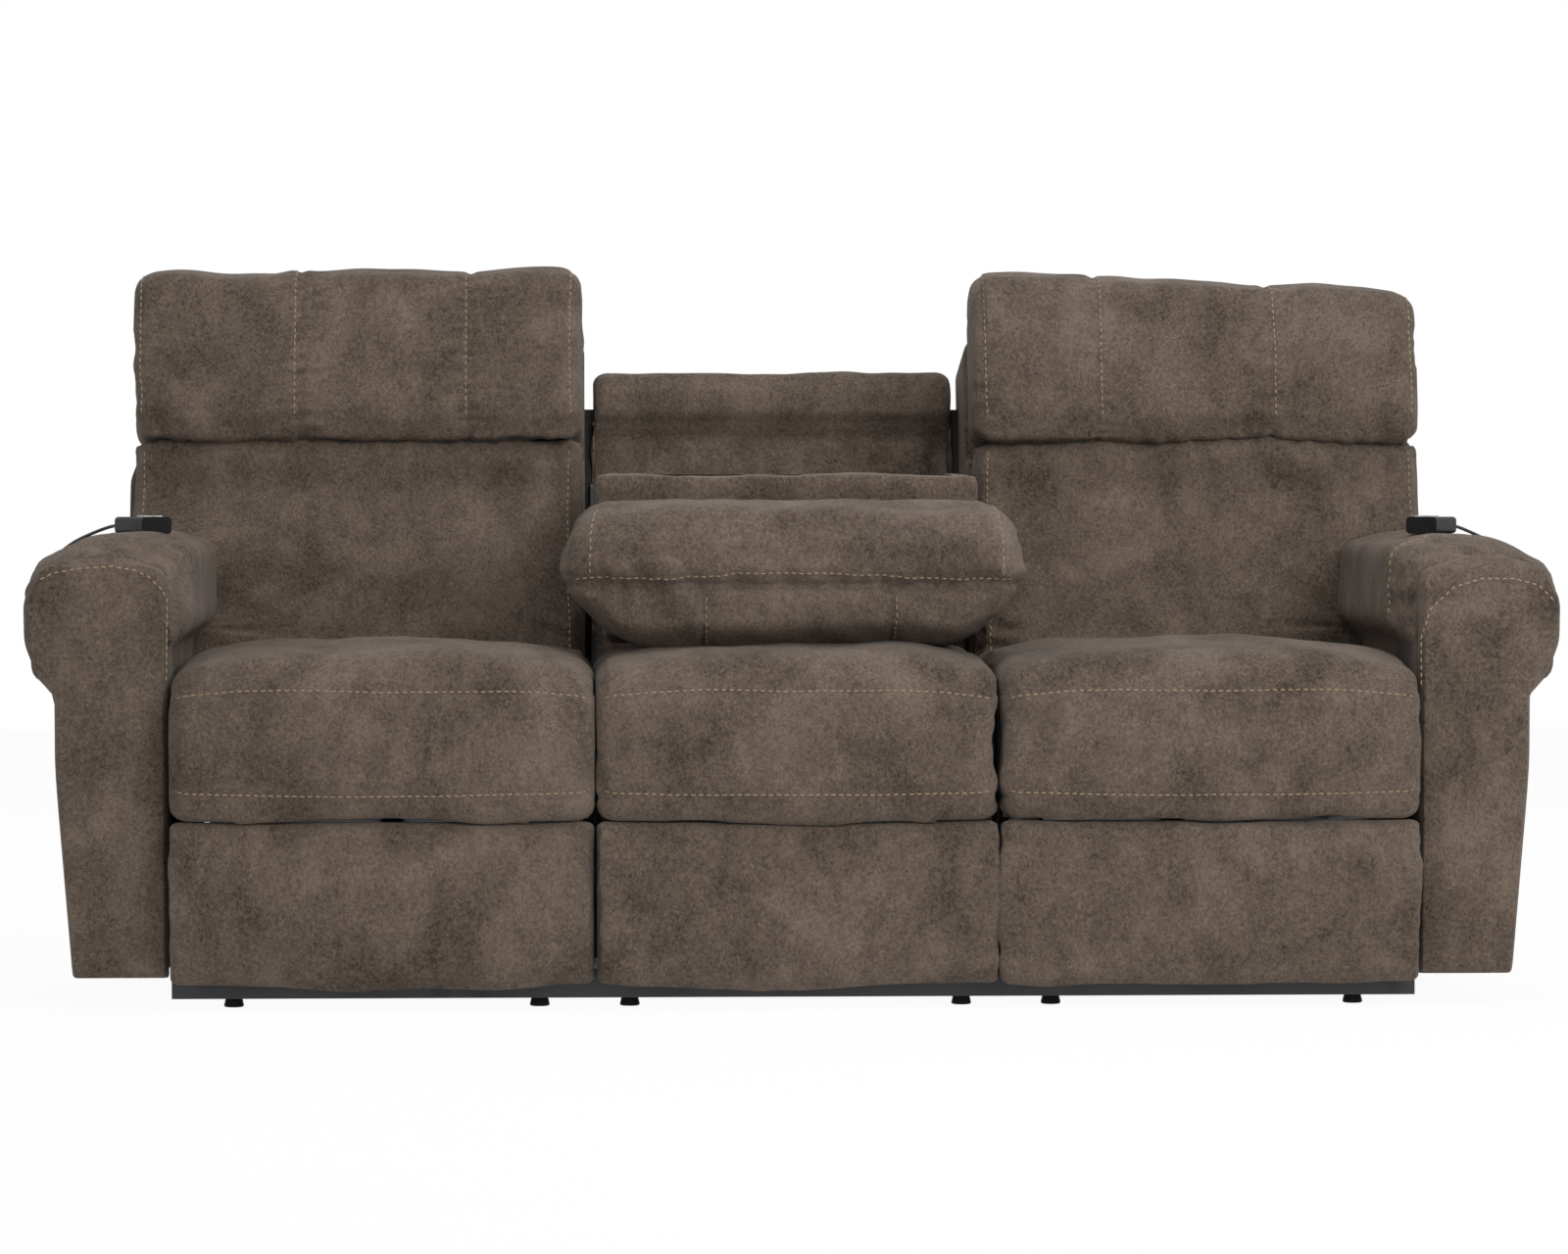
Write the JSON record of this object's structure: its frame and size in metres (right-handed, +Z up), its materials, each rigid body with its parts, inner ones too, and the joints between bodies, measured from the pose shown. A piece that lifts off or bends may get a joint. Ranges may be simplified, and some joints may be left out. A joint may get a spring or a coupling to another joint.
{
  "type": "sofa with drop down console",
  "caption": "Reclining sofa with rolled arms, pillow headrests, footrests and a middle back that folds down as a console.",
  "frame": {"origin": "on the floor under the middle of the sofa", "axes": "+Z up, +X to the right seen from the front, the front faces -Y"},
  "size_m": [2.2382, 1.02, 1.092],
  "materials": {
    "upholstery_fabric": "matt pebbled nubuck-look fabric",
    "black_frame": "satin black paint",
    "plywood": "raw plywood",
    "zinc_steel": "zinc-plated",
    "black_plastic": "fine-textured moulding",
    "grey_buttons": "satin",
    "cord_rubber": "smooth"
  },
  "bodies": {
    "base": {"base_long_rails": "black_frame", "base_cross_rails": "black_frame", "base_side_panels": "plywood", "glide_feet": "black_plastic", "mechanism_tracks": "zinc_steel", "arm_bolts": "zinc_steel", "arm_frames": "plywood", "arm_front_panels": "upholstery_fabric", "left_arm_cover": "upholstery_fabric", "right_arm_cover": "upholstery_fabric", "middle_seat_frame": "plywood", "middle_seat_cushion": "upholstery_fabric", "middle_front_panel": "upholstery_fabric", "middle_back_cover": "upholstery_fabric", "middle_back_frame": "plywood", "console_hinge_plates": "black_frame", "handset_casings": "black_plastic", "handset_reliefs": "cord_rubber", "left_handset_cord": "cord_rubber", "right_handset_cord": "cord_rubber", "cord_grommets": "cord_rubber"},
    "left_seat": {"left_seat_frame": "plywood", "left_seat_cushion": "upholstery_fabric", "left_seat_mechanism": "zinc_steel"},
    "left_drive": {"left_drive_block": "zinc_steel"},
    "left_lower_links": {"left_footrest_lower_links": "zinc_steel"},
    "left_upper_links": {"left_footrest_upper_links": "zinc_steel"},
    "left_footrest": {"left_footrest_board": "plywood", "left_footrest_pad": "upholstery_fabric"},
    "left_back": {"left_back_frame": "plywood", "left_back_shell": "upholstery_fabric", "left_lumbar_cushion": "upholstery_fabric"},
    "left_headrest": {"left_headrest_frame": "zinc_steel", "left_headrest_cushion": "upholstery_fabric"},
    "left_recline_open_button": {"left_recline_open_button": "grey_buttons"},
    "left_recline_close_button": {"left_recline_close_button": "grey_buttons"},
    "left_headrest_up_button": {"left_headrest_up_button": "grey_buttons"},
    "left_headrest_down_button": {"left_headrest_down_button": "grey_buttons"},
    "right_seat": {"right_seat_frame": "plywood", "right_seat_cushion": "upholstery_fabric", "right_seat_mechanism": "zinc_steel"},
    "right_drive": {"right_drive_block": "zinc_steel"},
    "right_lower_links": {"right_footrest_lower_links": "zinc_steel"},
    "right_upper_links": {"right_footrest_upper_links": "zinc_steel"},
    "right_footrest": {"right_footrest_board": "plywood", "right_footrest_pad": "upholstery_fabric"},
    "right_back": {"right_back_frame": "plywood", "right_back_shell": "upholstery_fabric", "right_lumbar_cushion": "upholstery_fabric"},
    "right_headrest": {"right_headrest_frame": "zinc_steel", "right_headrest_cushion": "upholstery_fabric"},
    "right_recline_open_button": {"right_recline_open_button": "grey_buttons"},
    "right_recline_close_button": {"right_recline_close_button": "grey_buttons"},
    "right_headrest_up_button": {"right_headrest_up_button": "grey_buttons"},
    "right_headrest_down_button": {"right_headrest_down_button": "grey_buttons"},
    "console": {"console_frame": "plywood", "console_surround": "upholstery_fabric", "console_tray": "black_plastic", "console_cushion": "upholstery_fabric", "console_pillow": "upholstery_fabric"}
  },
  "joints": [
    {"name": "left_seat_slide", "type": "slide", "parent": "base", "child": "left_seat", "axis": [0, -1, 0], "range_m": [0, 0.07]},
    {"name": "left_back_recline", "type": "hinge", "parent": "left_seat", "child": "left_back", "pos_m": [-0.5945, 0.13, 0.33], "axis": [-1, 0, 0], "range_deg": [0, 42]},
    {"name": "left_headrest_tilt", "type": "hinge", "parent": "left_back", "child": "left_headrest", "pos_m": [-0.5945, 0.18004, 0.82236], "axis": [1, 0, 0], "range_deg": [0, 30]},
    {"name": "left_footrest_fold", "type": "hinge", "parent": "left_seat", "child": "left_lower_links", "pos_m": [-0.5945, -0.395, 0.245], "axis": [-1, 0, 0], "range_deg": [0, 165]},
    {"name": "left_footrest_knee", "type": "hinge", "parent": "left_lower_links", "child": "left_upper_links", "pos_m": [-0.5945, -0.23995, 0.18857], "axis": [1, 0, 0], "range_deg": [0, 129]},
    {"name": "left_footrest_turn", "type": "hinge", "parent": "left_upper_links", "child": "left_footrest", "pos_m": [-0.5945, -0.44, 0.15], "axis": [-1, 0, 0], "range_deg": [0, 52]},
    {"name": "left_drive_slide", "type": "slide", "parent": "left_seat", "child": "left_drive", "axis": [0, -1, 0], "range_m": [0, 0.105]},
    {"name": "left_recline_open", "type": "slide", "parent": "base", "child": "left_recline_open_button", "axis": [0, 0, -1], "range_m": [0, 0.0012], "stiffness_N_per_m": 500, "springref_m": -0.001},
    {"name": "left_recline_close", "type": "slide", "parent": "base", "child": "left_recline_close_button", "axis": [0, 0, -1], "range_m": [0, 0.0012], "stiffness_N_per_m": 500, "springref_m": -0.001},
    {"name": "left_headrest_up", "type": "slide", "parent": "base", "child": "left_headrest_up_button", "axis": [0, 0, -1], "range_m": [0, 0.0012], "stiffness_N_per_m": 500, "springref_m": -0.001},
    {"name": "left_headrest_down", "type": "slide", "parent": "base", "child": "left_headrest_down_button", "axis": [0, 0, -1], "range_m": [0, 0.0012], "stiffness_N_per_m": 500, "springref_m": -0.001},
    {"name": "right_seat_slide", "type": "slide", "parent": "base", "child": "right_seat", "axis": [0, -1, 0], "range_m": [0, 0.07]},
    {"name": "right_back_recline", "type": "hinge", "parent": "right_seat", "child": "right_back", "pos_m": [0.5945, 0.13, 0.33], "axis": [-1, 0, 0], "range_deg": [0, 42]},
    {"name": "right_headrest_tilt", "type": "hinge", "parent": "right_back", "child": "right_headrest", "pos_m": [0.5945, 0.18004, 0.82236], "axis": [1, 0, 0], "range_deg": [0, 30]},
    {"name": "right_footrest_fold", "type": "hinge", "parent": "right_seat", "child": "right_lower_links", "pos_m": [0.5945, -0.395, 0.245], "axis": [-1, 0, 0], "range_deg": [0, 165]},
    {"name": "right_footrest_knee", "type": "hinge", "parent": "right_lower_links", "child": "right_upper_links", "pos_m": [0.5945, -0.23995, 0.18857], "axis": [1, 0, 0], "range_deg": [0, 129]},
    {"name": "right_footrest_turn", "type": "hinge", "parent": "right_upper_links", "child": "right_footrest", "pos_m": [0.5945, -0.44, 0.15], "axis": [-1, 0, 0], "range_deg": [0, 52]},
    {"name": "right_drive_slide", "type": "slide", "parent": "right_seat", "child": "right_drive", "axis": [0, -1, 0], "range_m": [0, 0.105]},
    {"name": "right_recline_open", "type": "slide", "parent": "base", "child": "right_recline_open_button", "axis": [0, 0, -1], "range_m": [0, 0.0012], "stiffness_N_per_m": 500, "springref_m": -0.001},
    {"name": "right_recline_close", "type": "slide", "parent": "base", "child": "right_recline_close_button", "axis": [0, 0, -1], "range_m": [0, 0.0012], "stiffness_N_per_m": 500, "springref_m": -0.001},
    {"name": "right_headrest_up", "type": "slide", "parent": "base", "child": "right_headrest_up_button", "axis": [0, 0, -1], "range_m": [0, 0.0012], "stiffness_N_per_m": 500, "springref_m": -0.001},
    {"name": "right_headrest_down", "type": "slide", "parent": "base", "child": "right_headrest_down_button", "axis": [0, 0, -1], "range_m": [0, 0.0012], "stiffness_N_per_m": 500, "springref_m": -0.001},
    {"name": "console_fold", "type": "hinge", "parent": "base", "child": "console", "pos_m": [0, 0.145, 0.572], "axis": [-1, 0, 0], "range_deg": [0, 103]}
  ],
  "couplings": [
    {"joint": "left_back_recline", "follows": "left_seat_slide", "rad_per_m": 10.472},
    {"joint": "left_footrest_knee", "follows": "left_footrest_fold", "ratio": 0.78182},
    {"joint": "left_footrest_turn", "follows": "left_footrest_fold", "ratio": 0.31515},
    {"joint": "left_drive_slide", "follows": "left_footrest_fold", "m_per_rad": 0.03646},
    {"joint": "right_back_recline", "follows": "right_seat_slide", "rad_per_m": 10.472},
    {"joint": "right_footrest_knee", "follows": "right_footrest_fold", "ratio": 0.78182},
    {"joint": "right_footrest_turn", "follows": "right_footrest_fold", "ratio": 0.31515},
    {"joint": "right_drive_slide", "follows": "right_footrest_fold", "m_per_rad": 0.03646}
  ]
}
